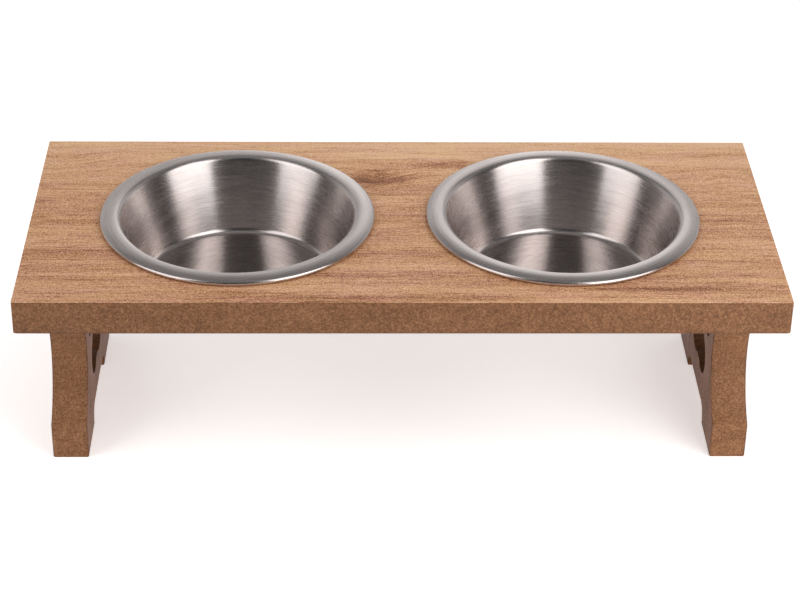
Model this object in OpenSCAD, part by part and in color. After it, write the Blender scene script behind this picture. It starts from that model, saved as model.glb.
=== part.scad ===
// Low feeding stand for a small dog or cat: a faced board on two side panels,
// with two drawn steel bowls that hang by their rolled rims in round holes.
// X runs along the board, Y from the front to the back, Z up from the floor.
// The origin is on the floor under the middle of the board.

/* [Board] */
// Length of the board
board_w = 385; // [376:1:460]
// Depth of the board, front to back
board_d = 172; // [156:1:220]
// Thickness of the board with its two face sheets
board_t = 18.5; // [15:0.5:25]
// Radius of the rounding along the lower edges
edge_round = 1; // [0.5:0.5:5]
// Thickness of the wood-grain face sheets
face_t = 0.3; // [0.2:0.1:0.8]

/* [Legs] */
// Height of a leg, from the floor to the board
leg_h = 92; // [88:0.5:140]
// Depth of a leg, front to back
leg_d = 120; // [114:1:150]
// Thickness of a leg with its two face sheets
leg_t = 18.5; // [12:0.5:20]
// Distance from the end of the board to the outer face of a leg
leg_inset = 11; // [4:1:15]
// Height of the upright block at a toe
toe_h = 20; // [14:0.5:26]
// Height of the upright shoulder under the board
shoulder_h = 4; // [2:0.5:8]
// How far the curved edges draw in at the waist
waist_in = 20.5; // [10:0.5:22]
// Width of the arch between the feet
arch_w = 58; // [40:1:76]
// Height of the arch between the feet
arch_h = 9.5; // [5:0.5:13]
// Radius of the arch's corners
arch_r = 8; // [4:0.5:9]
// Height of the face sheets' lower edge above the floor
sheet_lift = 0.5; // [0.3:0.1:2]

/* [Paw print] */
// Height of the lowest point of the paw print above the floor
paw_h = 23; // [18:0.5:26]
// Radius of the two lobes of the main pad
lobe_r = 10.5; // [8:0.5:11]
// Distance of a lobe's centre from the middle
lobe_y = 12; // [9:0.5:13]
// Radius of the rounded top of the main pad
dome_r = 9.5; // [7:0.5:10]
// Height from the lobes' centres to the dome's centre
dome_up = 9; // [6:0.5:10]
// Radius of the hollow between the two lobes
hollow_r = 14; // [10:0.5:18]
// Depth of that hollow
hollow_h = 2.5; // [1:0.5:3]
// Radius of a toe at its lower end
toe_low_r = 5; // [4:0.5:5.5]
// Radius of a toe at its upper end
toe_top_r = 5.5; // [4:0.5:6]
// Distance between the two ends' centres
toe_len = 8; // [5:0.5:9]
// Distance of an inner toe's lower centre from the middle
inner_toe_y = 9.5; // [8:0.5:10.5]
// Height of an inner toe's lower centre above the paw print's lowest point
inner_toe_up = 40; // [38:0.5:42]
// Outward lean of an inner toe, in degrees
inner_toe_lean = 6; // [0:1:10]
// Distance of an outer toe's lower centre from the middle
outer_toe_y = 22; // [21:0.5:24]
// Height of an outer toe's lower centre above the paw print's lowest point
outer_toe_up = 33.5; // [32:0.5:35]
// Outward lean of an outer toe, in degrees
outer_toe_lean = 26; // [15:1:30]

/* [Bowls] */
// Distance between the middles of the two bowls
bowl_spacing = 170; // [148:1:180]
// Outer diameter of the rolled rim
rim_d = 143; // [120:1:146]
// Width of the rim, from its outer edge to the mouth
rim_w = 11; // [9:0.5:14]
// Outer radius of the rolled bead at the edge of the rim
bead_r = 1.2; // [1:0.1:1.8]
// Distance from the mouth to the crest of the rim
crest_w = 5; // [4:0.5:7]
// Radius across the crown of the rim
crown_r = 18; // [14:1:60]
// Radius of the lip where the rim turns down into the wall
lip_r = 1.5; // [1:0.5:4]
// Radius of the heel where the wall turns into the floor
heel_r = 3.5; // [2:0.5:6]
// Diameter of the flat floor inside
floor_d = 92; // [70:1:100]
// Depth inside, from the crest of the rim to the floor
bowl_depth = 39.5; // [25:0.5:60]
// Thickness of the steel
steel_t = 0.6; // [0.4:0.1:1]

/* [Dowels] */
// Diameter of a dowel
dowel_d = 8; // [6:1:8]
// Length of a dowel
dowel_l = 30; // [24:1:32]
// Length of a dowel that sits in the board
dowel_in_board = 11; // [8:0.5:12]
// Distance of a dowel from the middle of the leg
dowel_y = 34; // [32:0.5:36]
// Chamfer at the ends of a dowel
dowel_chamfer = 1; // [0.5:0.1:2]

/* [Fits] */
// Gap between the bowl's wall and the hole, all round
bowl_clear = 1.4; // [0.8:0.1:3]
// Gap between the rolled rim and the board
rim_gap = 0.3; // [0.1:0.1:0.5]
// Gap between a dowel and its hole, all round
dowel_clear = 0.1; // [0.05:0.05:0.2]
// Spare depth of a dowel's hole in the board
dowel_spare = 0.8; // [0.4:0.1:1.5]

/* [Hidden] */

$fn = 96;
fine = 192; // segments of the large rounds
through = 1; // how far a cutter runs past what it cuts
arc_steps = 10; // chords in each arc of the bowl's section
least_step = 0.001; // points nearer than this are one point
bite = 0.02; // how far a straight starts inside the round that it leaves

left = -1;
right = 1;
front = -1;
rear = 1;

wood_top = [0.78, 0.55, 0.37];
edge_brown = [0.53, 0.38, 0.26];
leg_mauve = [0.55, 0.43, 0.38];
beech = [0.85, 0.72, 0.53];
steel = [0.72, 0.71, 0.70];

// heights
board_low = leg_h;
board_top = leg_h + board_t;

// legs
leg_out_x = board_w / 2 - leg_inset;
leg_mid_x = leg_out_x - leg_t / 2;
waist_half = (leg_h - shoulder_h - toe_h) / 2;
waist_h = toe_h + waist_half;
// the edge's arc passes both block corners and the waist
edge_r = (pow(waist_half, 2) + pow(waist_in, 2)) / (2 * waist_in);
edge_y = leg_d / 2 - waist_in + edge_r;

// bowl section: centre line of the steel sheet, radius then height
half_t = steel_t / 2;
rim_r = rim_d / 2;
mouth_r = rim_r - rim_w;
hole_r = mouth_r + steel_t + bowl_clear;
bead_line_r = bead_r - half_t;
crown_line_r = crown_r - half_t;
lip_line_r = lip_r - half_t;
heel_line_r = heel_r + half_t;
bead_c = [rim_r - bead_r, board_top + rim_gap + bead_r];
lip_x = mouth_r + lip_r;
crest_x = mouth_r + crest_w;
outer_turn = asin((bead_c[0] - crest_x) / (crown_line_r - bead_line_r));
inner_turn = asin((crest_x - lip_x) / (crown_line_r - lip_line_r));
crown_c = [crest_x, bead_c[1] - (crown_line_r - bead_line_r) * cos(outer_turn)];
lip_c = [lip_x, crown_c[1] + (crown_line_r - lip_line_r) * cos(inner_turn)];
crest_h = crown_c[1] + crown_r;
floor_line_h = crest_h - bowl_depth - half_t;
heel_c = [floor_d / 2, floor_line_h + heel_line_r];
// the wall is the straight that touches the heel from outside and the lip from inside
wall_run = lip_c - heel_c;
wall_dir = atan2(wall_run[1], wall_run[0]) + asin((lip_line_r + heel_line_r) / norm(wall_run));
curl_end = -125; // where the rolled bead stops, in degrees

// dowels
dowel_low = board_low + dowel_in_board - dowel_l;
dowel_hole_d = dowel_d + 2 * dowel_clear;

// points of an arc about c, from angle a0 to angle a1
function arc(c, r, a0, a1) =
    [for (i = [0 : arc_steps]) let (a = a0 + (a1 - a0) * i / arc_steps) c + r * [cos(a), sin(a)]];

// one face of the bowl's sheet: side is 1 for the inside and top, -1 for the outside
function bowl_face(side) = concat(
    [[0, floor_line_h + side * half_t]],
    arc(heel_c, heel_line_r - side * half_t, -90, wall_dir - 90),
    arc(lip_c, lip_line_r + side * half_t, wall_dir + 90, 90 + inner_turn),
    arc(crown_c, crown_line_r + side * half_t, 90 + inner_turn, 90 - outer_turn),
    arc(bead_c, bead_line_r + side * half_t, 90 - outer_turn, curl_end));

function reversed(list) = [for (i = [len(list) - 1 : -1 : 0]) list[i]];

// drop the points that repeat where two arcs meet
function distinct(list) =
    [for (i = [0 : len(list) - 1])
        if (i == 0 || norm(list[i] - list[max(i - 1, 0)]) > least_step) list[i]];

// two circles and the straights that join them: low at the origin, top at distance len along Y
module egg_2d(low_r, top_r, len) {
    lean = asin((low_r - top_r) / len);
    touch = [cos(lean), sin(lean)];
    low_end = (low_r - bite) * touch;
    top_end = [0, len] + (top_r - bite) * touch;
    circle(r = low_r);
    translate([0, len]) circle(r = top_r);
    polygon([low_end, top_end, [-top_end[0], top_end[1]], [-low_end[0], low_end[1]]]);
}

// pair of toes, one each side of the middle
module toes_2d(y, up, lean) {
    for (side = [-1, 1])
        translate([side * y, paw_h + up]) rotate(-side * lean) egg_2d(toe_low_r, toe_top_r, toe_len);
}

module main_pad_2d() {
    lobe_h = paw_h + lobe_r;
    slope = atan2(dome_up, lobe_y);
    side_len = norm([lobe_y, dome_up]);
    difference() {
        union() {
            for (side = [-1, 1])
                translate([side * lobe_y, lobe_h]) rotate(side * (90 - slope)) egg_2d(lobe_r, dome_r, side_len);
            translate([-lobe_y, paw_h]) square([2 * lobe_y, lobe_r + dome_up]);
        }
        translate([0, paw_h + hollow_h - hollow_r]) circle(r = hollow_r);
    }
}

module paw_print_2d() {
    main_pad_2d();
    toes_2d(inner_toe_y, inner_toe_up, inner_toe_lean);
    toes_2d(outer_toe_y, outer_toe_up, outer_toe_lean);
}

// rounded arch between the feet
module arch_2d() {
    corner_y = arch_w / 2 - arch_r;
    for (side = [-1, 1])
        translate([side * corner_y, arch_h - arch_r]) circle(r = arch_r);
    translate([-corner_y, -through]) square([2 * corner_y, arch_h + through]);
    translate([-arch_w / 2, -through]) square([arch_w, max(arch_h - arch_r, 0) + through]);
}

// side view of a leg, from a given height up
module leg_2d(from_h) {
    difference() {
        translate([-leg_d / 2, from_h]) square([leg_d, leg_h - from_h]);
        for (side = [-1, 1]) translate([side * edge_y, waist_h]) circle(r = edge_r, $fn = fine);
        arch_2d();
        paw_print_2d();
    }
}

// a panel with the leg's outline, between two distances from the middle of the stand
module leg_panel(side, near_x, far_x, from_h) {
    x = side > 0 ? near_x : -far_x;
    translate([x, 0, 0]) rotate([90, 0, 90]) linear_extrude(far_x - near_x) leg_2d(from_h);
}

module leg_core(side) {
    color(edge_brown)
    difference() {
        leg_panel(side, leg_out_x - leg_t + face_t, leg_out_x - face_t, 0);
        for (y = [front, rear]) dowel_hole(side, y);
    }
}

module leg_outer_sheet(side) {
    color(leg_mauve) leg_panel(side, leg_out_x - face_t, leg_out_x, sheet_lift);
}

module leg_inner_sheet(side) {
    color(leg_mauve) leg_panel(side, leg_out_x - leg_t, leg_out_x - leg_t + face_t, sheet_lift);
}

// blind hole for one dowel, through the joint between leg and board
module dowel_hole(side, y) {
    translate([side * leg_mid_x, y * dowel_y, dowel_low])
        cylinder(d = dowel_hole_d, h = dowel_l + dowel_spare);
}

module dowel(side, y) {
    color(beech)
    translate([side * leg_mid_x, y * dowel_y, dowel_low]) {
        cylinder(d1 = dowel_d - 2 * dowel_chamfer, d2 = dowel_d, h = dowel_chamfer);
        translate([0, 0, dowel_chamfer]) cylinder(d = dowel_d, h = dowel_l - 2 * dowel_chamfer);
        translate([0, 0, dowel_l - dowel_chamfer])
            cylinder(d1 = dowel_d, d2 = dowel_d - 2 * dowel_chamfer, h = dowel_chamfer);
    }
}

module bowl_holes(low, high) {
    for (side = [left, right])
        translate([side * bowl_spacing / 2, 0, low - through])
            cylinder(r = hole_r, h = high - low + 2 * through, $fn = fine);
}

module all_dowel_holes() {
    for (side = [left, right], y = [front, rear]) dowel_hole(side, y);
}

// cutter that rounds a lower edge of the given length, laid along X at y = 0
module edge_cutter(length) {
    translate([-length / 2 - through, 0, 0]) rotate([90, 0, 90])
        linear_extrude(length + 2 * through)
            difference() {
                translate([-through, -through]) square(edge_round + through);
                translate([edge_round, edge_round]) circle(r = edge_round);
            }
}

module rounded_lower_edges() {
    for (turn = [0, 180]) {
        rotate(turn) translate([0, -board_d / 2, 0]) edge_cutter(board_w);
        rotate(turn + 90) translate([0, -board_w / 2, 0]) edge_cutter(board_d);
    }
}

module top_board() {
    color(edge_brown)
    difference() {
        translate([-board_w / 2, -board_d / 2, board_low + face_t])
            cube([board_w, board_d, board_t - 2 * face_t]);
        translate([0, 0, board_low + face_t]) rounded_lower_edges();
        bowl_holes(board_low, board_top);
        all_dowel_holes();
    }
}

module top_face_sheet() {
    color(wood_top)
    difference() {
        translate([-board_w / 2, -board_d / 2, board_top - face_t]) cube([board_w, board_d, face_t]);
        bowl_holes(board_top - face_t, board_top);
    }
}

// backing sheet on the flat of the underside, inside the rounded edges
module underside_sheet() {
    color(leg_mauve)
    difference() {
        translate([edge_round - board_w / 2, edge_round - board_d / 2, board_low])
            cube([board_w - 2 * edge_round, board_d - 2 * edge_round, face_t]);
        bowl_holes(board_low, board_low + face_t);
        all_dowel_holes();
    }
}

module bowl(side) {
    color(steel)
    translate([side * bowl_spacing / 2, 0, 0])
        rotate_extrude($fn = fine)
            polygon(distinct(concat(bowl_face(1), reversed(bowl_face(-1)))));
}

top_board();
top_face_sheet();
underside_sheet();
leg_core(left);  // left_leg
leg_outer_sheet(left);  // left_leg_outer_sheet
leg_inner_sheet(left);  // left_leg_inner_sheet
leg_core(right);  // right_leg
leg_outer_sheet(right);  // right_leg_outer_sheet
leg_inner_sheet(right);  // right_leg_inner_sheet
dowel(left, front);  // left_front_dowel
dowel(left, rear);  // left_rear_dowel
dowel(right, front);  // right_front_dowel
dowel(right, rear);  // right_rear_dowel
bowl(left);  // left_bowl
bowl(right);  // right_bowl
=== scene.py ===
"""Raised bowl stand, dressed: a wood-grain board on two shaped legs, and two brushed steel bowls.

Lengths are in metres in the stand's own frame: X along the board, Y to the back, Z up, floor at 0.
"""

import math

import bpy
import numpy as np
from mathutils import Matrix, Vector
from mathutils.geometry import tessellate_polygon


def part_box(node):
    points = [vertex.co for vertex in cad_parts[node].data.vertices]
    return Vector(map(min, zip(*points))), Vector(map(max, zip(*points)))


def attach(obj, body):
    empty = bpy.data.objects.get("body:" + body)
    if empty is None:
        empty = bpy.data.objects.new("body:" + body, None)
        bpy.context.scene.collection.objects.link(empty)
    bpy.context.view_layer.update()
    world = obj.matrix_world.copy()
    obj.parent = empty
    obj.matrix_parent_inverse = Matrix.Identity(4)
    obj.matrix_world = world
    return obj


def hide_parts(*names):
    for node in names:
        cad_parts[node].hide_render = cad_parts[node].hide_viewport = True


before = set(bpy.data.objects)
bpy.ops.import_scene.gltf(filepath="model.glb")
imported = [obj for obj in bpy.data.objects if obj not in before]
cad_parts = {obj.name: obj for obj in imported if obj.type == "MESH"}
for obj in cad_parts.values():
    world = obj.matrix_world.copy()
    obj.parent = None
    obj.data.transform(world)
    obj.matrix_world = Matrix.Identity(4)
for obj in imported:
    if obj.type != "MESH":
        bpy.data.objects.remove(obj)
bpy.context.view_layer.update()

MM = 0.001
PI = math.pi

# Two points or two radii closer than these are the same
SAME_POINT = 1e-7
SAME_RADIUS = 1e-6

# Measures taken from the frame
board_lo, board_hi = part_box("top_board")
sheet_lo, sheet_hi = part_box("top_face_sheet")
leg_lo, leg_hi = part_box("right_leg")
bowl_lo, bowl_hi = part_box("right_bowl")
BOARD_W, BOARD_D = board_hi.x - board_lo.x, board_hi.y - board_lo.y
BOARD_LOW, CORE_TOP, BOARD_TOP = board_lo.z, sheet_lo.z, sheet_hi.z
LEG_D, LEG_H = leg_hi.y - leg_lo.y, leg_hi.z
BOWL_X = (bowl_lo.x + bowl_hi.x) / 2
RIM_R = (bowl_hi.x - bowl_lo.x) / 2

# Leg, side view: Y across, Z up
TOE_H = 20 * MM
SHOULDER_H = 4 * MM
WAIST_IN = 20.5 * MM
ARCH_W, ARCH_H, ARCH_R = 58 * MM, 9.5 * MM, 8 * MM
SHEET_LIFT = 0.5 * MM

# Paw print. Each toe has its place across, its height over the pad's foot, and its lean in degrees
PAW_H = 23 * MM
LOBE_R, LOBE_Y = 10.5 * MM, 12 * MM
DOME_R, DOME_UP = 9.5 * MM, 9 * MM
HOLLOW_R, HOLLOW_H = 14 * MM, 2.5 * MM
TOE_LOW_R, TOE_TOP_R, TOE_LEN = 5 * MM, 5.5 * MM, 8 * MM
TOES = ((9.5 * MM, 40 * MM, 6), (22 * MM, 33.5 * MM, 26))

# Bowl section
STEEL_T = 0.6 * MM
RIM_W = 11 * MM
CREST_W = 5 * MM
BEAD_R, CROWN_R, LIP_R, HEEL_R = 1.2 * MM, 18 * MM, 3 * MM, 3.5 * MM
FLOOR_D = 92 * MM
BOWL_DEPTH = 39.5 * MM
RIM_GAP = 0.3 * MM
CURL_END = -125

# Board
LOWER_ROUND = 1 * MM
PLAN_CORNER = 0.5 * MM
LEAST_CORNER = 0.05 * MM
EASE = 0.3 * MM
SHEET_EASE = 0.12 * MM
BOWL_CLEAR = 1.4 * MM
HOLE_R = RIM_R - RIM_W + STEEL_T + BOWL_CLEAR

# Points in each round
CORNER_POINTS, EASE_POINTS, HOLE_POINTS = 7, 7, 180
WAIST_POINTS, ARCH_POINTS = 41, 13
DOME_POINTS, LOBE_POINTS, HOLLOW_POINTS, TOE_POINTS = 25, 33, 17, 25
FLOOR_POINTS, HEEL_POINTS, LIP_POINTS, CROWN_POINTS, BEAD_POINTS = 12, 14, 16, 16, 22
BOWL_STEPS = 224

# Edges sharper than this many degrees are drawn sharp
PANEL_SHARP, BOWL_SHARP = 30, 60


def arc(centre, radius, start, end, count):
    """Points at centre + radius (cos a, sin a), with a running evenly from start to end degrees."""
    a = np.radians(np.linspace(start, end, count))
    return np.asarray(centre) + radius * np.stack([np.cos(a), np.sin(a)], -1)


def distinct(points):
    """The points without those that repeat the one before."""
    step = np.linalg.norm(np.diff(points, axis=0, prepend=points[-1:]), axis=1)
    return points[step > SAME_POINT]


def board_ring(width, depth, corner):
    """The board in plan, counter-clockwise; an inset moves its sides in and takes from its corners."""
    def ring(inset):
        radius = max(corner - inset, LEAST_CORNER)
        half = np.array([width, depth]) / 2 - inset - radius
        signs = ((1, 1), (-1, 1), (-1, -1), (1, -1))
        turns = [arc(half * s, radius, 90 * k, 90 * (k + 1), CORNER_POINTS) for k, s in enumerate(signs)]
        return np.concatenate(turns)
    return ring


def bowl_hole_ring(x):
    """Circle about (x, 0), clockwise because it bounds a hole; an inset widens it."""
    def ring(inset):
        return arc((x, 0), HOLE_R + inset, 360, 360 / HOLE_POINTS, HOLE_POINTS)
    return ring


def drawn_ring(points):
    """Any closed outline. Its inset moves each point along the mitre of its two edges' left normals."""
    before = points - np.roll(points, 1, axis=0)
    after = np.roll(points, -1, axis=0) - points
    left = [np.stack([-e[:, 1], e[:, 0]], -1) / np.linalg.norm(e, axis=1)[:, None] for e in (before, after)]
    mitre = (left[0] + left[1]) / (1 + (left[0] * left[1]).sum(1))[:, None]
    return lambda inset: points + inset * mitre


def leg_outline(low):
    """Leg seen from +X, counter-clockwise, from a height up: toes, arch between them and hollow edges.

    The hollow edge is the arc through the block corners and the waist, radius (h2 + w2) / 2w for a
    half height h and a depth w."""
    half_d = LEG_D / 2
    half_waist = (LEG_H - SHOULDER_H - TOE_H) / 2
    radius = (half_waist ** 2 + WAIST_IN ** 2) / (2 * WAIST_IN)
    spread = math.degrees(math.asin(half_waist / radius))
    centre = np.array([half_d - WAIST_IN + radius, TOE_H + half_waist])
    rear = arc(centre, radius, 180 + spread, 180 - spread, WAIST_POINTS)
    front = rear[::-1] * (-1, 1)
    arch_c = (ARCH_W / 2 - ARCH_R, ARCH_H - ARCH_R)
    arch_rear = arc(arch_c, ARCH_R, 90, 0, ARCH_POINTS)
    arch_front = arch_rear[::-1] * (-1, 1)
    front_foot = [(-half_d, low), (-ARCH_W / 2, low)]
    rear_foot = [(ARCH_W / 2, low), (half_d, low)]
    top = [(half_d, LEG_H), (-half_d, LEG_H)]
    return distinct(np.concatenate([front_foot, arch_front, arch_rear, rear_foot, rear, top, front]))


def pad_outline():
    """Main pad, clockwise: a dome, a lobe each side, straights that touch both, and a hollow below."""
    slope = math.degrees(math.atan2(DOME_UP, LOBE_Y))
    lean = math.degrees(math.asin((LOBE_R - DOME_R) / math.hypot(LOBE_Y, DOME_UP)))
    touch = 90 - slope + lean
    lobe_c = np.array([LOBE_Y, PAW_H + LOBE_R])
    dome_c = np.array([0, PAW_H + LOBE_R + DOME_UP])
    hollow_c = np.array([0, PAW_H + HOLLOW_H - HOLLOW_R])
    rise = math.degrees(math.asin((HOLLOW_R - HOLLOW_H) / HOLLOW_R))
    dome = arc(dome_c, DOME_R, 180 - touch, touch, DOME_POINTS)
    lobe = arc(lobe_c, LOBE_R, touch, -90, LOBE_POINTS)
    hollow = arc(hollow_c, HOLLOW_R, rise, 180 - rise, HOLLOW_POINTS)
    return distinct(np.concatenate([dome, lobe, hollow, lobe[::-1] * (-1, 1)]))


def toe_outline(side, y, up, lean):
    """A toe, clockwise: two circles and the straights that touch both, leaning outwards."""
    touch = math.degrees(math.asin((TOE_LOW_R - TOE_TOP_R) / TOE_LEN))
    top = arc((0, TOE_LEN), TOE_TOP_R, 180 - touch, touch, TOE_POINTS)
    low = arc((0, 0), TOE_LOW_R, touch, -180 - touch, TOE_POINTS)
    a = -side * math.radians(lean)
    turn = np.array([[math.cos(a), -math.sin(a)], [math.sin(a), math.cos(a)]])
    return distinct(np.concatenate([top, low])) @ turn.T + (side * y, PAW_H + up)


def piece(name, points, faces, materials, face_material=None, sharp=PANEL_SHARP):
    """A mesh object from arrays, with its place in its mesh, smooth but for edges over sharp degrees."""
    mesh = bpy.data.meshes.new(name)
    mesh.from_pydata(points.tolist(), [], faces)
    for material in materials:
        mesh.materials.append(material)
    if face_material is not None:
        mesh.polygons.foreach_set("material_index", np.asarray(face_material, np.int32))
    mesh.polygons.foreach_set("use_smooth", np.ones(len(mesh.polygons), bool))
    mesh.set_sharp_from_angle(angle=math.radians(sharp))
    mesh.validate()
    made = bpy.data.objects.new(name, mesh)
    bpy.context.scene.collection.objects.link(made)
    return made


def grid_quads(index):
    """Four-sided faces of a grid of vertex numbers, each row of which closes on itself."""
    a, b = index[:-1], index[1:]
    return np.stack([a, np.roll(a, -1, 1), np.roll(b, -1, 1), b], -1).reshape(-1, 4)


def flat_face(loops, index, upward):
    """Triangles that fill the space between closed loops in one plane, all turned up or all down."""
    tris = np.array(tessellate_polygon([[Vector((u, v, 0)) for u, v in loop] for loop in loops]))
    flat = np.concatenate(loops)
    p, q, r = (flat[tris[:, i]] for i in range(3))
    is_up = ((q - p)[:, 0] * (r - p)[:, 1] - (q - p)[:, 1] * (r - p)[:, 0]) > 0
    wrong = is_up != upward
    tris[wrong] = tris[wrong][:, ::-1]
    return index[tris].tolist()


def panel(name, rings, low, high, ease_low, ease_high, order, materials, wall_material):
    """A flat panel between two planes. Each ring gives a wall, and the rings together bound two faces.

    A wall's section is a quarter round of radius e at each end: inset e (1 - sin t), depth e (1 - cos t)
    with t from 0 to 90 degrees, and a straight between them. order puts (u, v, height) on X, Y and Z."""
    t = np.radians(np.linspace(0, 90, EASE_POINTS))
    points, faces, kinds, starts, ends = [], [], [], [], []
    count = 0
    for ring, lo_e, hi_e, kind in zip(rings, ease_low, ease_high, wall_material):
        inset = np.concatenate([lo_e * (1 - np.sin(t)), hi_e * (1 - np.sin(t[::-1]))])
        height = np.concatenate([low + lo_e * (1 - np.cos(t)), high - hi_e * (1 - np.cos(t[::-1]))])
        rows = [np.column_stack([ring(i), np.full(len(ring(i)), h)]) for i, h in zip(inset, height)]
        index = count + np.arange(len(rows) * len(rows[0])).reshape(len(rows), -1)
        quads = grid_quads(index)
        faces += quads.tolist()
        kinds += [kind] * len(quads)
        starts.append((rows[0][:, :2], index[0]))
        ends.append((rows[-1][:, :2], index[-1]))
        points += rows
        count += index.size
    for row, upward in ((starts, False), (ends, True)):
        tris = flat_face([loop for loop, _ in row], np.concatenate([index for _, index in row]), upward)
        faces += tris
        kinds += [0] * len(tris)
    return piece(name, np.concatenate(points)[:, order], faces, materials, kinds)


def bowl_face(side):
    """One face of the bowl's sheet as radius and height: floor, heel, wall, lip, crown and rolled bead.

    side is 1 for the inside and -1 for the outside, each half the sheet from the line between them.
    The wall is the straight that touches the heel from outside and the lip from inside."""
    half = STEEL_T / 2
    mouth_r = RIM_R - RIM_W
    bead_line, crown_line = BEAD_R - half, CROWN_R - half
    lip_line, heel_line = LIP_R - half, HEEL_R + half
    bead_c = np.array([RIM_R - BEAD_R, BOARD_TOP + RIM_GAP + BEAD_R])
    lip_x, crest_x = mouth_r + LIP_R, mouth_r + CREST_W
    outer_turn = math.asin((bead_c[0] - crest_x) / (crown_line - bead_line))
    inner_turn = math.asin((crest_x - lip_x) / (crown_line - lip_line))
    crown_c = np.array([crest_x, bead_c[1] - (crown_line - bead_line) * math.cos(outer_turn)])
    lip_c = np.array([lip_x, crown_c[1] + (crown_line - lip_line) * math.cos(inner_turn)])
    floor_line = crown_c[1] + CROWN_R - BOWL_DEPTH - half
    heel_c = np.array([FLOOR_D / 2, floor_line + heel_line])
    run = lip_c - heel_c
    wall = math.degrees(math.atan2(run[1], run[0]) + math.asin((lip_line + heel_line) / np.linalg.norm(run)))
    outer_turn, inner_turn = math.degrees(outer_turn), math.degrees(inner_turn)
    floor_r = np.linspace(0, FLOOR_D / 2, FLOOR_POINTS)
    return distinct(np.concatenate([
        np.column_stack([floor_r, np.full(FLOOR_POINTS, floor_line + side * half)]),
        arc(heel_c, heel_line - side * half, -90, wall - 90, HEEL_POINTS),
        arc(lip_c, lip_line + side * half, wall + 90, 90 + inner_turn, LIP_POINTS),
        arc(crown_c, crown_line + side * half, 90 + inner_turn, 90 - outer_turn, CROWN_POINTS),
        arc(bead_c, bead_line + side * half, 90 - outer_turn, CURL_END, BEAD_POINTS)]))


def corner_uv(*corners):
    """The map's points of many faces, from the u and v of each corner in turn."""
    return np.stack([np.stack(np.broadcast_arrays(u, v), -1) for u, v in corners], -2).reshape(-1, 2)


def brushing_map(mesh, section):
    """u is the length along the section and v the share of a turn, so u runs across the brushing."""
    length = np.concatenate([[0], np.cumsum(np.linalg.norm(np.diff(section, axis=0), axis=1))])
    u = length[1:-1, None]
    here = np.arange(BOWL_STEPS) / BOWL_STEPS
    there = here + 1 / BOWL_STEPS
    middle = (here + there) / 2
    quads = corner_uv((u[1:], here), (u[1:], there), (u[:-1], there), (u[:-1], here))
    start = corner_uv((0, middle), (u[0], here), (u[0], there))
    end = corner_uv((length[-1], middle), (u[-1], there), (u[-1], here))
    layer = mesh.uv_layers.new(name="brushing")
    layer.data.foreach_set("uv", np.concatenate([quads, start, end]).astype(np.float32).ravel())


def spun_bowl(name, section, x, materials):
    """The section turned about the vertical at (x, 0): (r cos a, r sin a, h) for its radius r and height h.

    The section runs from the axis along the inside and back along the outside, so the faces are taken
    in reverse to point outwards. The flat floor takes the second material."""
    turn = np.linspace(0, 2 * PI, BOWL_STEPS, endpoint=False)
    body = section[1:-1]
    grid = np.empty((len(body), BOWL_STEPS, 3))
    grid[..., :2] = body[:, None, :1] * np.stack([np.cos(turn), np.sin(turn)], -1)
    grid[..., 2] = body[:, None, 1]
    poles = np.array([[0, 0, section[0, 1]], [0, 0, section[-1, 1]]])
    points = np.concatenate([grid.reshape(-1, 3), poles]) + (x, 0, 0)
    index = np.arange(len(body) * BOWL_STEPS).reshape(-1, BOWL_STEPS)
    first, last = len(points) - 2, len(points) - 1
    quads = grid_quads(index)[:, ::-1]
    start = np.stack([np.full(BOWL_STEPS, first), index[0], np.roll(index[0], -1)], -1)
    end = np.stack([np.full(BOWL_STEPS, last), np.roll(index[-1], -1), index[-1]], -1)
    faces = quads.tolist() + start.tolist() + end.tolist()
    band_r = np.maximum(body[:-1, 0], body[1:, 0])
    on_floor = np.repeat(band_r <= FLOOR_D / 2 + SAME_RADIUS, BOWL_STEPS)
    kinds = np.concatenate([on_floor, np.ones(len(start) + len(end), bool)])
    made = piece(name, points, faces, materials, kinds, sharp=BOWL_SHARP)
    brushing_map(made.data, section)
    return made


class Wire:
    """A value in a shader. Signs between wires and numbers add Math nodes to its material."""

    def __init__(self, tree, socket):
        self.tree, self.socket = tree, socket

    def math(self, operation, *others):
        """One Math node on this value and the others."""
        node = self.tree.nodes.new("ShaderNodeMath")
        node.operation = operation
        for slot, value in zip(node.inputs, (self, *others)):
            plug(self.tree, value, slot)
        return Wire(self.tree, node.outputs[0])

    def __add__(self, other):
        return self.math("ADD", other)

    def __sub__(self, other):
        return self.math("SUBTRACT", other)

    def __mul__(self, other):
        return self.math("MULTIPLY", other)

    def __truediv__(self, other):
        return self.math("DIVIDE", other)

    def above(self, low, high):
        """0 below low and 1 above high, with a smooth step between."""
        node = self.tree.nodes.new("ShaderNodeMapRange")
        node.interpolation_type = "SMOOTHSTEP"
        plug(self.tree, self, node.inputs["Value"])
        node.inputs["From Min"].default_value = low
        node.inputs["From Max"].default_value = high
        return Wire(self.tree, node.outputs["Result"])

    def below(self, low, high):
        """1 below low and 0 above high."""
        return self.above(low, high) * -1.0 + 1.0

    def fade(self):
        """exp(-x): 1 at 0, and less the larger the value."""
        return (self * -1.0).math("EXPONENT")

    def pick(self, first, second):
        """The wire first at 0, and second at 1."""
        return self * (second - first) + first


def plug(tree, value, slot):
    """Joins a wire to a socket, or sets the socket to a plain value."""
    if isinstance(value, Wire):
        tree.links.new(value.socket, slot)
    else:
        slot.default_value = value


def srgb(red, green, blue):
    """A colour given as 0 to 255 screen values, as the linear values that shaders take."""
    c = np.array([red, green, blue]) / 255
    c = np.where(c <= 0.04045, c / 12.92, ((c + 0.055) / 1.055) ** 2.4)
    return (*c.tolist(), 1.0)


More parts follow.
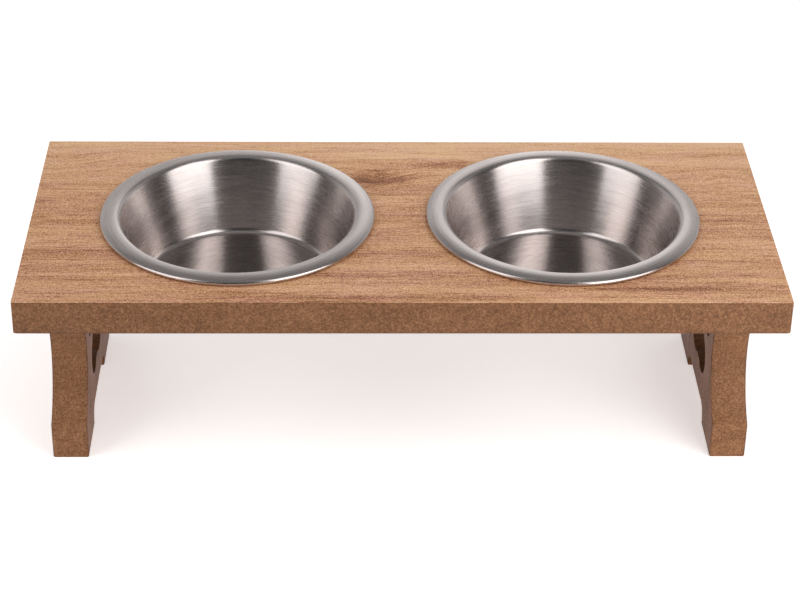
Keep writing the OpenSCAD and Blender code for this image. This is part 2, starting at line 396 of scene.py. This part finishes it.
def new_material(name):
    """An empty node material with a Principled shader, as (material, tree, shader)."""
    material = bpy.data.materials.new(name)
    material.use_nodes = True
    tree = material.node_tree
    tree.nodes.clear()
    shader = tree.nodes.new("ShaderNodeBsdfPrincipled")
    out = tree.nodes.new("ShaderNodeOutputMaterial")
    tree.links.new(shader.outputs[0], out.inputs["Surface"])
    return material, tree, shader


def place(tree):
    """The object coordinates in millimetres, as three wires."""
    coordinates = tree.nodes.new("ShaderNodeTexCoord")
    split = tree.nodes.new("ShaderNodeSeparateXYZ")
    tree.links.new(coordinates.outputs["Object"], split.inputs[0])
    return [Wire(tree, split.outputs[k]) * (1 / MM) for k in range(3)]


def ray_kinds(tree, *kinds):
    """For each kind of light ray, such as Camera, a wire that is 1 on such rays and else 0."""
    path = tree.nodes.new("ShaderNodeLightPath")
    return [Wire(tree, path.outputs[f"Is {kind} Ray"]) for kind in kinds]


def noise(tree, x, y, z, detail=2.0, roughness=0.5):
    """Smooth noise about 0, from about -0.5 to 0.5, of three wires or numbers, one feature per unit."""
    vector = tree.nodes.new("ShaderNodeCombineXYZ")
    for value, slot in zip((x, y, z), vector.inputs):
        plug(tree, value, slot)
    node = tree.nodes.new("ShaderNodeTexNoise")
    tree.links.new(vector.outputs[0], node.inputs["Vector"])
    for key, value in (("Scale", 1.0), ("Detail", detail), ("Roughness", roughness), ("Distortion", 0.0)):
        node.inputs[key].default_value = value
    return Wire(tree, node.outputs["Fac"]) - 0.5


def ramp(tree, value, stops):
    """A colour read off a row of (place, colour) stops."""
    node = tree.nodes.new("ShaderNodeValToRGB")
    plug(tree, value, node.inputs[0])
    band = node.color_ramp
    while len(band.elements) < len(stops):
        band.elements.new(0.5)
    for element, (where, colour) in zip(band.elements, stops):
        element.position, element.color = where, colour
    return Wire(tree, node.outputs["Color"])


def blend(tree, share, first, second):
    """first at share 0 and second at share 1, for colours."""
    node = tree.nodes.new("ShaderNodeMix")
    node.data_type = "RGBA"
    plug(tree, share, node.inputs["Factor"])
    plug(tree, first, node.inputs["A"])
    plug(tree, second, node.inputs["B"])
    return Wire(tree, node.outputs["Result"])


def bump(tree, shader, height, distance):
    """Raises the surface by height times distance, in metres."""
    node = tree.nodes.new("ShaderNodeBump")
    node.inputs["Strength"].default_value = 1.0
    node.inputs["Distance"].default_value = distance
    plug(tree, height, node.inputs["Height"])
    tree.links.new(node.outputs[0], shader.inputs["Normal"])


# Layers of the wood figure: mm along and across the grain, place in the noise, detail and roughness
LONG_WAVES = (110, 50, 0.0, 1.0, 0.5)
SHORT_WAVES = (40, 12, 3.0, 1.0, 0.5)
BANDS = (150, 11, 7.0, 2.0, 0.5)
LONG_STREAKS = (48, 3.0, 11.0, 3.0, 0.6)
FIBRES = (13, 1.3, 13.0, 2.0, 0.6)
DASHES = (2.6, 1.1, 15.0, 1.0, 0.5)
PORES = (30, 1.7, 17.0, 1.0, 0.5)
KNOT_SWIRL = (8, 2.6, 23.0, 3.0, 0.7)
HUES = (34, 9, 29.0, 2.0, 0.6)
SPECKLE = (0.8, 0.9, 0.8)
# How far the waves bend the grain in mm, and the steps over which pores, hues and the painted back sheen
# come in
LONG_BEND, SHORT_BEND = 4.0, 0.9
PORE_STEP, HUE_STEP = (0.06, 0.2), (-0.16, 0.16)
MIDDLE_TO_BACK = (0.0, 90.0)

# Depth of the relief in each finish
WOOD_BUMP, PAINT_BUMP, STEEL_BUMP = 0.05 * MM, 0.06 * MM, 0.003 * MM


def figure(tree, along, across, seed, layer):
    """One layer of the wood figure, as smooth noise about 0."""
    length, width, start, detail, roughness = layer
    return noise(tree, along / length, across / width, seed + start, detail, roughness)


def spot(tree, x, y, at, size):
    """1 at a place and fading to 0 by the ellipse of that half size: exp(-(dx2 + dy2))."""
    dx, dy = (x - at[0]) / size[0], (y - at[1]) / size[1]
    return (dx * dx + dy * dy).fade()


def wood_grain(name, axes, tones, seed, knots=(), streaks=(), painted_back_sheen=0.0, sheen=0.1):
    """Printed wood grain. axes are the coordinates along and across the grain and square to the face.

    Its tone is 0.54 + 0.8 bands + 0.6 streaks + 0.75 fibres + 0.6 dashes + 1.5 speckle - 0.2 pores.
    Knots bend the grain round them and darken it; streaks are long lenses, dark or light; sheen is its
    specular level; painted_back_sheen is painted sheen: how much lighter the grain gets from the middle
    to the far edge."""
    material, tree, shader = new_material(name)
    where = place(tree)
    along, across, face = (where[k] for k in axes)
    flow = across + figure(tree, along, across, seed, LONG_WAVES) * LONG_BEND
    flow = flow + figure(tree, along, across, seed, SHORT_WAVES) * SHORT_BEND
    dark = None
    for at, size, lift, depth in knots:
        near = spot(tree, along, across, at, size)
        flow = flow + near * lift
        dark = near * depth if dark is None else dark + near * depth
    bands = figure(tree, along, flow, seed, BANDS)
    streak = figure(tree, along, flow, seed, LONG_STREAKS)
    fibre = figure(tree, along, flow, seed, FIBRES)
    dash = figure(tree, along, flow, seed, DASHES)
    pore = figure(tree, along, flow, seed, PORES).above(*PORE_STEP)
    speckle = noise(tree, along / SPECKLE[0], across / SPECKLE[1], face / SPECKLE[2] + seed, 1.0)
    value = bands * 0.8 + streak * 0.6 + fibre * 0.75 + dash * 0.6 + speckle * 1.5 + 0.54
    # Painted sheen: the grain is lighter from the middle to the back edge
    value = value - pore * 0.2 + across.above(*MIDDLE_TO_BACK) * painted_back_sheen
    if dark is not None:
        swirl = figure(tree, along, flow, seed, KNOT_SWIRL) * 1.6 + 0.8
        value = value - dark * swirl
    for at, size, depth in streaks:
        value = value - spot(tree, along, flow, at, size) * (streak * 2.0 + 0.8) * depth
    hue = figure(tree, along, flow, seed, HUES).above(*HUE_STEP)
    plug(tree, blend(tree, hue, ramp(tree, value, tones[0]), ramp(tree, value, tones[1])),
         shader.inputs["Base Color"])
    plug(tree, (streak + fibre) * 0.12 + 0.5, shader.inputs["Roughness"])
    shader.inputs["Specular IOR Level"].default_value = sheen
    bump(tree, shader, fibre * 0.6 + speckle * 0.4 + streak * 0.5, WOOD_BUMP)
    return material


# Painted edges: sizes of the clouds (across and up), of the mottle and of the specks, in mm
CLOUD_ACROSS, CLOUD_UP, MOTTLE_SIZE, SPECK_SIZE = 22, 14, 4.5, 0.9


def painted_fibre(name, tones, roughness, rims=()):
    """Painted fibreboard edge: a fine speckle over faint clouds, darker along the rims at given heights,
    which carry painted shade and dark joint lines.

    Its tone is 0.5 + 0.35 clouds + 0.4 mottle + 1.7 specks, less 0.3 on a rim."""
    material, tree, shader = new_material(name)
    x, y, z = place(tree)
    cloud = noise(tree, x / CLOUD_ACROSS, y / CLOUD_ACROSS, z / CLOUD_UP, 2.0)
    mottle = noise(tree, x / MOTTLE_SIZE, y / MOTTLE_SIZE, z / MOTTLE_SIZE, 2.0, 0.6)
    specks = noise(tree, x / SPECK_SIZE, y / SPECK_SIZE, z / SPECK_SIZE, 2.0, 0.7)
    value = cloud * 0.35 + mottle * 0.4 + specks * 1.7 + 0.5
    # Painted shade and dark joint lines: the paint is darker near each rim height
    for height, reach in rims:
        near = ((z - height) / reach).math("ABSOLUTE")
        value = value - near.below(0.0, 1.0) * 0.3
    plug(tree, ramp(tree, value, tones), shader.inputs["Base Color"])
    plug(tree, specks * 0.2 + roughness, shader.inputs["Roughness"])
    shader.inputs["Specular IOR Level"].default_value = 0.3
    bump(tree, shader, specks + mottle * 0.4, PAINT_BUMP)
    return material


# Brushing: marks round the bowl for each unit of its turn's radius, and mm across each mark
LINES, BROAD_LINES, STEEL_CLOUDS = (4.0, 0.35), (2.6, 1.5), (2.0, 9.0)


def brushed_steel(name, dull, uneven):
    """Satin steel brushed round the bowl: rougher across the brushing than along it, in fine lines.

    Its tone is 0.5 + 0.5 lines + 0.6 broad lines + 0.3 clouds. dull is its roughness, and uneven how far
    its reflection is drawn out across the brushing."""
    material, tree, shader = new_material(name)
    layer = tree.nodes.new("ShaderNodeUVMap")
    layer.uv_map = "brushing"
    split = tree.nodes.new("ShaderNodeSeparateXYZ")
    tree.links.new(layer.outputs[0], split.inputs[0])
    along_section = Wire(tree, split.outputs[0]) * (1 / MM)
    turn = Wire(tree, split.outputs[1]) * (2 * PI)
    c, s = turn.math("COSINE"), turn.math("SINE")

    def marks(kind, detail, roughness=0.5):
        often, width = kind
        return noise(tree, c * often, s * often, along_section / width, detail, roughness)

    lines = marks(LINES, 2.0, 0.6)
    broad = marks(BROAD_LINES, 3.0, 0.6)
    cloud = marks(STEEL_CLOUDS, 2.0)
    plug(tree, ramp(tree, lines * 0.5 + broad * 0.6 + cloud * 0.3 + 0.5, STEEL_TONES),
         shader.inputs["Base Color"])
    shader.inputs["Metallic"].default_value = 1.0
    plug(tree, lines * 0.08 + broad * 0.12 + dull, shader.inputs["Roughness"])
    shader.inputs["Anisotropic"].default_value = uneven
    tangent = tree.nodes.new("ShaderNodeTangent")
    tangent.direction_type = "UV_MAP"
    tangent.uv_map = "brushing"
    tree.links.new(tangent.outputs[0], shader.inputs["Tangent"])
    bump(tree, shader, lines + broad * 0.8, STEEL_BUMP)
    return material


# Dowels: length and width of a pore in mm
PORE_LENGTH, PORE_WIDTH = 9.0, 0.5


def dowel_wood(name, tones):
    """Turned hardwood with upright pores."""
    material, tree, shader = new_material(name)
    x, y, z = place(tree)
    grain = noise(tree, x / PORE_WIDTH, y / PORE_WIDTH, z / PORE_LENGTH, 3.0, 0.6)
    plug(tree, ramp(tree, grain + 0.5, tones), shader.inputs["Base Color"])
    shader.inputs["Roughness"].default_value = 0.6
    return material


# Tones from dark to light, in a yellower and a pinker version where the grain has both
BOARD_TONES = (((0.0, srgb(124, 78, 46)), (0.28, srgb(168, 117, 77)), (0.5, srgb(200, 149, 106)),
                (0.72, srgb(216, 168, 124)), (1.0, srgb(232, 190, 148))),
               ((0.0, srgb(124, 74, 54)), (0.28, srgb(170, 114, 84)), (0.5, srgb(200, 146, 112)),
                (0.72, srgb(216, 165, 130)), (1.0, srgb(232, 188, 154))))
MAUVE_TONES = (((0.0, srgb(80, 50, 34)), (0.3, srgb(110, 74, 53)), (0.55, srgb(130, 92, 68)),
                (0.8, srgb(148, 109, 84)), (1.0, srgb(164, 126, 101))),
               ((0.0, srgb(82, 50, 38)), (0.3, srgb(112, 73, 57)), (0.55, srgb(133, 92, 74)),
                (0.8, srgb(150, 109, 90)), (1.0, srgb(166, 126, 107))))
EDGE_TONES = ((0.1, srgb(87, 55, 32)), (0.4, srgb(118, 79, 50)), (0.6, srgb(135, 92, 61)),
              (0.9, srgb(164, 120, 85)))
# Painted light: the legs' edges have a lighter copy of the board's edge paint, standing in for the light on
# the legs
LIT_LEG_EDGE_TONES = ((0.1, srgb(97, 62, 37)), (0.4, srgb(130, 88, 57)), (0.6, srgb(148, 102, 69)),
                  (0.9, srgb(178, 132, 94)))
# Painted shade: the edge paint made darker on the walls of the paw cut-outs and of the bowl holes
CUT_SHADE_TONES = ((0.2, srgb(62, 36, 19)), (0.6, srgb(98, 62, 36)), (0.9, srgb(122, 82, 52)))
STEEL_TONES = ((0.15, srgb(176, 167, 163)), (0.5, srgb(208, 199, 196)), (0.85, srgb(228, 220, 217)))
BEECH_TONES = ((0.3, srgb(196, 158, 112)), (0.7, srgb(222, 190, 146)))

# Knots: place in mm along and across the grain, half size, how far the grain lifts, how dark
KNOTS = (((-12, 42), (20, 11), 8.0, 0.66), ((-186, 60), (26, 12), 8.0, 0.1),
         ((176, 50), (22, 9), -7.0, 0.04), ((27, 59), (20, 4), 2.0, 0.5))
# Streaks: place in mm along and across the grain, half size, how dark
STREAKS = (((133, -73), (30, 3.0), 0.42), ((-160, -34), (34, 1.3), 0.3), ((0, -81), (230, 1.3), 0.2),
           ((-10, 3), (50, 3), 0.14), ((0, 70), (30, 8), -0.2), ((0, 19), (30, 4), -0.2))
# Dark rims of the board's edge, height in mm and how far each fades: painted shade along the rounded lower
# edge, and a dark joint line under the top sheet
BOARD_SHADE_AND_JOINT_RIMS = ((BOARD_LOW / MM, 1.3), (CORE_TOP / MM, 0.5))

top_grain = wood_grain("board_wood_grain", (0, 1, 2), BOARD_TONES, 4.0, KNOTS, STREAKS, painted_back_sheen=0.3, sheen=0.3)
leg_grain = wood_grain("leg_wood_grain", (2, 1, 0), MAUVE_TONES, 31.0)
back_grain = wood_grain("underside_grain", (0, 1, 2), MAUVE_TONES, 57.0)
edge_paint = painted_fibre("edge_paint", EDGE_TONES, 0.62, BOARD_SHADE_AND_JOINT_RIMS)
lit_leg_paint = painted_fibre("lit_leg_edge_paint", LIT_LEG_EDGE_TONES, 0.62)
shaded_cut_paint = painted_fibre("cut_out_shaded_paint", CUT_SHADE_TONES, 0.7)
wall_steel = brushed_steel("brushed_steel", 0.26, 0.7)
floor_steel = brushed_steel("floor_steel", 0.1, 0.0)
beech = dowel_wood("beech", BEECH_TONES)

# Which of a panel's u, v and height lies along X, Y and Z
LYING, STANDING = [0, 1, 2], [2, 0, 1]


def dress(made, body, slot_name, *nodes):
    """Puts a finished piece in the place of CAD nodes, on their body. slot_name is not used."""
    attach(made, body)
    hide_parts(*nodes)


def dress_board():
    """The core with painted edges, and the printed sheet on it, both with the two bowl holes."""
    rings = [board_ring(BOARD_W, BOARD_D, PLAN_CORNER)] + [bowl_hole_ring(side * BOWL_X) for side in (-1, 1)]
    # The walls of the bowl holes take the painted shade of the cut-outs
    core = panel("board_core", rings, BOARD_LOW, CORE_TOP, [LOWER_ROUND, EASE, EASE], [EASE] * 3,
                 LYING, [edge_paint, shaded_cut_paint], [0, 1, 1])
    dress(core, "stand", "board_core", "top_board")
    sheet = panel("board_top_sheet", rings, CORE_TOP, BOARD_TOP, [SHEET_EASE] * 3, [SHEET_EASE] * 3,
                  LYING, [top_grain], [0] * 3)
    dress(sheet, "stand", "wood_grain_face", "top_face_sheet")


def dress_legs():
    """Each leg's core with painted edges and cut-outs darkened by painted shade, and a sheet on each face.
    """
    cut_outs = [pad_outline()] + [toe_outline(side, *toe) for side in (-1, 1) for toe in TOES]
    for side in ("left", "right"):
        for part, low, ease, materials, slot_name in (
                ("leg", 0.0, EASE, [lit_leg_paint, shaded_cut_paint], "leg_core"),
                ("leg_outer_sheet", SHEET_LIFT, SHEET_EASE, [leg_grain], "leg_face"),
                ("leg_inner_sheet", SHEET_LIFT, SHEET_EASE, [leg_grain], "leg_face")):
            node = f"{side}_{part}"
            near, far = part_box(node)
            rings = [drawn_ring(points) for points in (leg_outline(low), *cut_outs)]
            eases = [ease] * len(rings)
            kinds = [0] + [len(materials) - 1] * len(cut_outs)
            made = panel(f"{node}_piece", rings, near.x, far.x, eases, eases, STANDING, materials, kinds)
            dress(made, "stand", slot_name, node)


def dress_bowls():
    """Each bowl spun from one section: its inside from the axis out, and its outside back to the axis."""
    section = np.concatenate([bowl_face(1), bowl_face(-1)[::-1]])
    for side, x in (("left", -BOWL_X), ("right", BOWL_X)):
        bowl = spun_bowl(f"{side}_steel_bowl", section, x, [wall_steel, floor_steel])
        dress(bowl, f"{side}_bowl", "bowl_steel", f"{side}_bowl")


def finish_kept_nodes():
    """The CAD nodes that stay as they are get the stand's own finishes."""
    dowels = [f"{side}_{end}_dowel" for side in ("left", "right") for end in ("front", "rear")]
    for name, material in (("underside_sheet", back_grain), *((dowel, beech) for dowel in dowels)):
        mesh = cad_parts[name].data
        mesh.materials.clear()
        mesh.materials.append(material)


dress_board()
dress_legs()
dress_bowls()
finish_kept_nodes()

# Floor: its size, its colour to other light, its glow where it is seen, and the squared distance from
# its middle, in square mm, over which that glow rises until the floor is white by itself
FLOOR_RADIUS, FLOOR_CORNERS = 9.0, 96
FLOOR_COLOUR = (0.78, 0.77, 0.76, 1)
FLOOR_GLOW = (0.46, 0.43, 0.42, 1)
WHITE_FROM, WHITE_BY, WHITE_RISE = 0.8e6, 5e6, 1.3


def pale_floor():
    """A wide pale floor disc. What is seen of it directly, mirrored or through glass is white in full
    light and far off, and pinkish in shadow; to other light it is a plain pale floor."""
    ring = arc((0, 0), FLOOR_RADIUS, 0, 360 - 360 / FLOOR_CORNERS, FLOOR_CORNERS)
    points = np.column_stack([ring, np.zeros(len(ring))])
    material, tree, shader = new_material("pale_floor")
    shader.inputs["Base Color"].default_value = FLOOR_COLOUR
    shader.inputs["Roughness"].default_value = 0.9
    shader.inputs["Specular IOR Level"].default_value = 0.0
    camera, glossy, through = ray_kinds(tree, "Camera", "Glossy", "Transmission")
    seen = camera.math("MAXIMUM", glossy).math("MAXIMUM", through)
    matt = tree.nodes.new("ShaderNodeBsdfDiffuse")
    matt.inputs["Color"].default_value = (1, 1, 1, 1)
    glow = tree.nodes.new("ShaderNodeEmission")
    glow.inputs["Color"].default_value = FLOOR_GLOW
    x, y, _ = place(tree)
    far = (x * x + y * y).above(WHITE_FROM, WHITE_BY)
    plug(tree, far * WHITE_RISE + 1.0, glow.inputs["Strength"])
    shown = tree.nodes.new("ShaderNodeAddShader")
    tree.links.new(matt.outputs[0], shown.inputs[0])
    tree.links.new(glow.outputs[0], shown.inputs[1])
    both = tree.nodes.new("ShaderNodeMixShader")
    plug(tree, seen, both.inputs[0])
    tree.links.new(shader.outputs[0], both.inputs[1])
    tree.links.new(shown.outputs[0], both.inputs[2])
    out = next(n for n in tree.nodes if n.type == "OUTPUT_MATERIAL")
    tree.links.new(both.outputs[0], out.inputs["Surface"])
    floor = piece("floor", points, [list(range(len(ring)))], [material])


# Room: levels of light, and the shares of a direction's run right, back and up between which each
# part of it comes and goes
GLOW_RIGHT, GLOW_REACH, GLOW_LEVEL, BACKDROP_LEVEL = 0.08, 0.12, 0.75, 0.24
BACKDROP_SIDES, BACKDROP_TOP = (0.1, 0.5), (0.46, 0.66)
WALL_SIDES, WALL_TOP, WALL_LEVEL, WALL_LOSS = (-0.1, 0.3), (0.5, 0.9), 0.22, 0.4
CEILING, CEILING_LEVEL, ROOM_LEVEL = (0.92, 0.98), 0.15, 0.04
OVERHEAD, OVERHEAD_LEVEL, EVEN_LIGHT = (0.2, 1.0), 0.3, 0.25


def studio_world():
    """The room: white to the camera, and an even soft light, stronger from above and behind.

    Steel mirrors a backdrop behind the stand that is brightest a little to the right, dim walls beside
    and over it, a lit patch of ceiling, and a dark room in front."""
    world = bpy.data.worlds.new("studio")
    world.use_nodes = True
    tree = world.node_tree
    tree.nodes.clear()
    camera, glossy, through = ray_kinds(tree, "Camera", "Glossy", "Transmission")
    coordinates = tree.nodes.new("ShaderNodeTexCoord")
    split = tree.nodes.new("ShaderNodeSeparateXYZ")
    tree.links.new(coordinates.outputs["Generated"], split.inputs[0])
    right, back, up = (Wire(tree, split.outputs[k]) for k in range(3))
    off = (right - GLOW_RIGHT) / GLOW_REACH
    glow = (off * off).fade() * GLOW_LEVEL + BACKDROP_LEVEL
    backdrop = back.above(*BACKDROP_SIDES) * up.below(*BACKDROP_TOP) * glow
    wall = back.above(*WALL_SIDES) * (up.above(*WALL_TOP) * -WALL_LOSS + 1.0) * WALL_LEVEL
    mirrored = backdrop + wall + up.above(*CEILING) * CEILING_LEVEL + ROOM_LEVEL
    matt = backdrop + up.above(*OVERHEAD) * OVERHEAD_LEVEL + EVEN_LIGHT
    unseen = glossy.pick(matt, mirrored)
    seen = camera.math("MAXIMUM", through)
    level = seen * (unseen * -1.0 + 1.0) + unseen
    soft = tree.nodes.new("ShaderNodeBackground")
    soft.inputs["Color"].default_value = (1, 1, 1, 1)
    plug(tree, level, soft.inputs["Strength"])
    out = tree.nodes.new("ShaderNodeOutputWorld")
    tree.links.new(soft.outputs[0], out.inputs["Surface"])
    bpy.context.scene.world = world


def soft_box(name, start, end, height, radiance):
    """An upright rectangular lamp that stands on the floor from start to end and shines to its left."""
    start, end, up = Vector((*start, 0)), Vector((*end, 0)), Vector((0, 0, 1))
    width = (end - start).length
    along = (end - start) / width
    lamp = bpy.data.lights.new(name, "AREA")
    lamp.shape, lamp.size, lamp.size_y = "RECTANGLE", width, height
    lamp.energy = radiance * PI * width * height
    holder = bpy.data.objects.new(name, lamp)
    bpy.context.scene.collection.objects.link(holder)
    turn = Matrix((along, up, along.cross(up))).transposed().to_4x4()
    holder.matrix_world = Matrix.Translation((start + end + up * height) / 2) @ turn
    holder.visible_camera = False


# Camera: degrees down, to the right and of roll, mm of lens and sensor, and its place in metres
PITCH, YAW, ROLL = 31.19, 1.56, 0.83
LENS, SENSOR = 103.05, 36
CAMERA_X, CAMERA_Y, CAMERA_OVER_BOARD = -0.0281, -1.0468, 0.5834


def photo_camera():
    """The camera, in front of the stand and looking down on it."""
    pitch, yaw, roll = (math.radians(d) for d in (PITCH, YAW, ROLL))
    ahead = Vector((math.sin(yaw) * math.cos(pitch), math.cos(yaw) * math.cos(pitch), -math.sin(pitch)))
    level = Vector((math.cos(yaw), -math.sin(yaw), 0))
    upright = level.cross(ahead)
    right = level * math.cos(roll) + upright * math.sin(roll)
    up = upright * math.cos(roll) - level * math.sin(roll)
    camera = bpy.data.cameras.new("camera")
    camera.sensor_width, camera.lens = SENSOR, LENS
    camera.clip_start, camera.clip_end = 0.05, 50
    holder = bpy.data.objects.new("camera", camera)
    bpy.context.scene.collection.objects.link(holder)
    turn = Matrix((right, up, -ahead)).transposed().to_4x4()
    holder.matrix_world = Matrix.Translation((CAMERA_X, CAMERA_Y, BOARD_TOP + CAMERA_OVER_BOARD)) @ turn
    bpy.context.scene.camera = holder


pale_floor()
studio_world()
soft_box("right_soft_box", start=(0.3, -0.71), end=(0.605, -0.2), height=1.8, radiance=2.25)
soft_box("left_soft_box", start=(-1.57, -0.16), end=(-1.12, -1.2), height=3.9, radiance=1.62)
photo_camera()
bpy.context.scene.view_settings.view_transform = "Standard"

bpy.context.view_layer.update()
